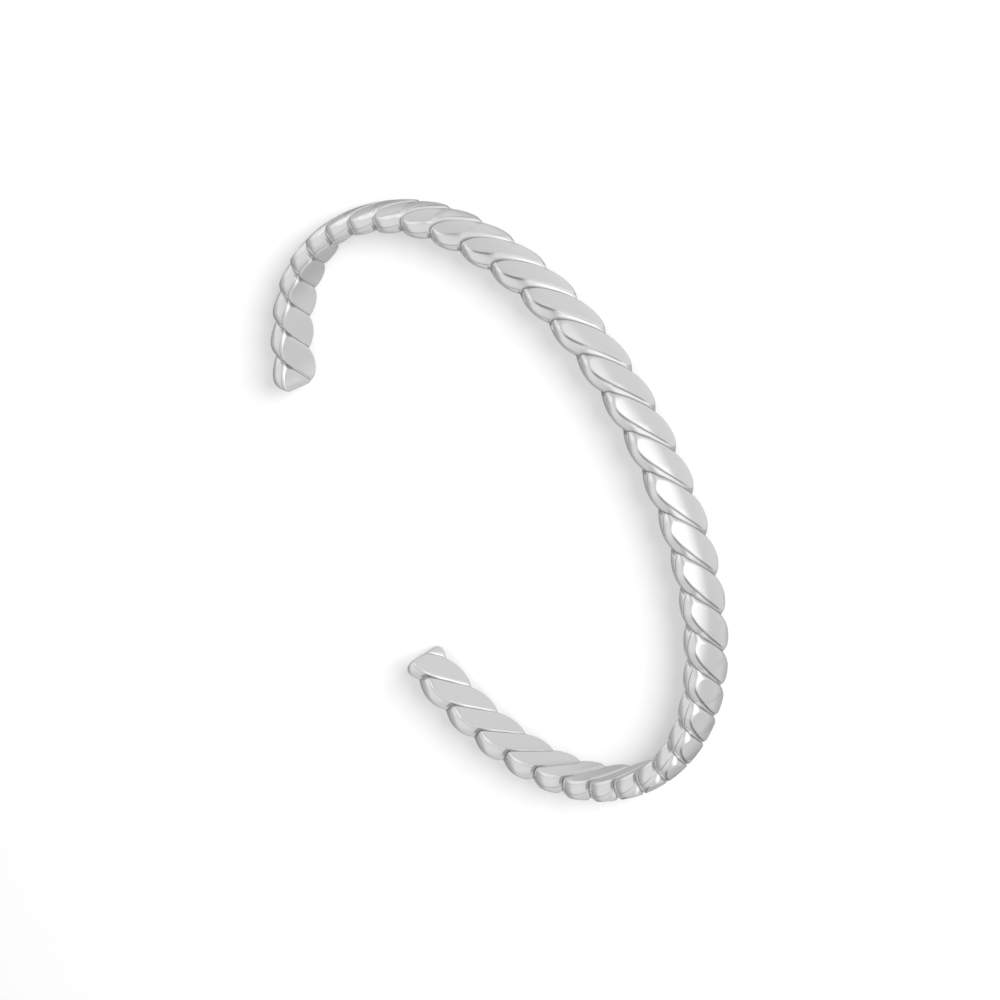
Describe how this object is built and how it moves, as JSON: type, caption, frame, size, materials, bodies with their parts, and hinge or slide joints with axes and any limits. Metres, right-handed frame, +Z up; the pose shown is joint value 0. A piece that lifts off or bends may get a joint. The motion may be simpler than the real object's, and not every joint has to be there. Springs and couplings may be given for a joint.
{
  "type": "open twisted cuff bangle",
  "caption": "Open oval cuff bangle of polished silver-coloured metal, twisted like a rope and rolled flat, worn round a wrist.",
  "frame": {"origin": "under the middle of the bangle's box, on the surface that it lies on", "axes": "+Z up through the bangle as it lies on its side, X along the oval's length, the gap between the ends faces -Y"},
  "size_m": [0.063, 0.053, 0.0047],
  "materials": {
    "polished_silver": "high polish with fine wear"
  },
  "bodies": {
    "root": {"twisted_cuff": "polished_silver"}
  },
  "joints": []
}
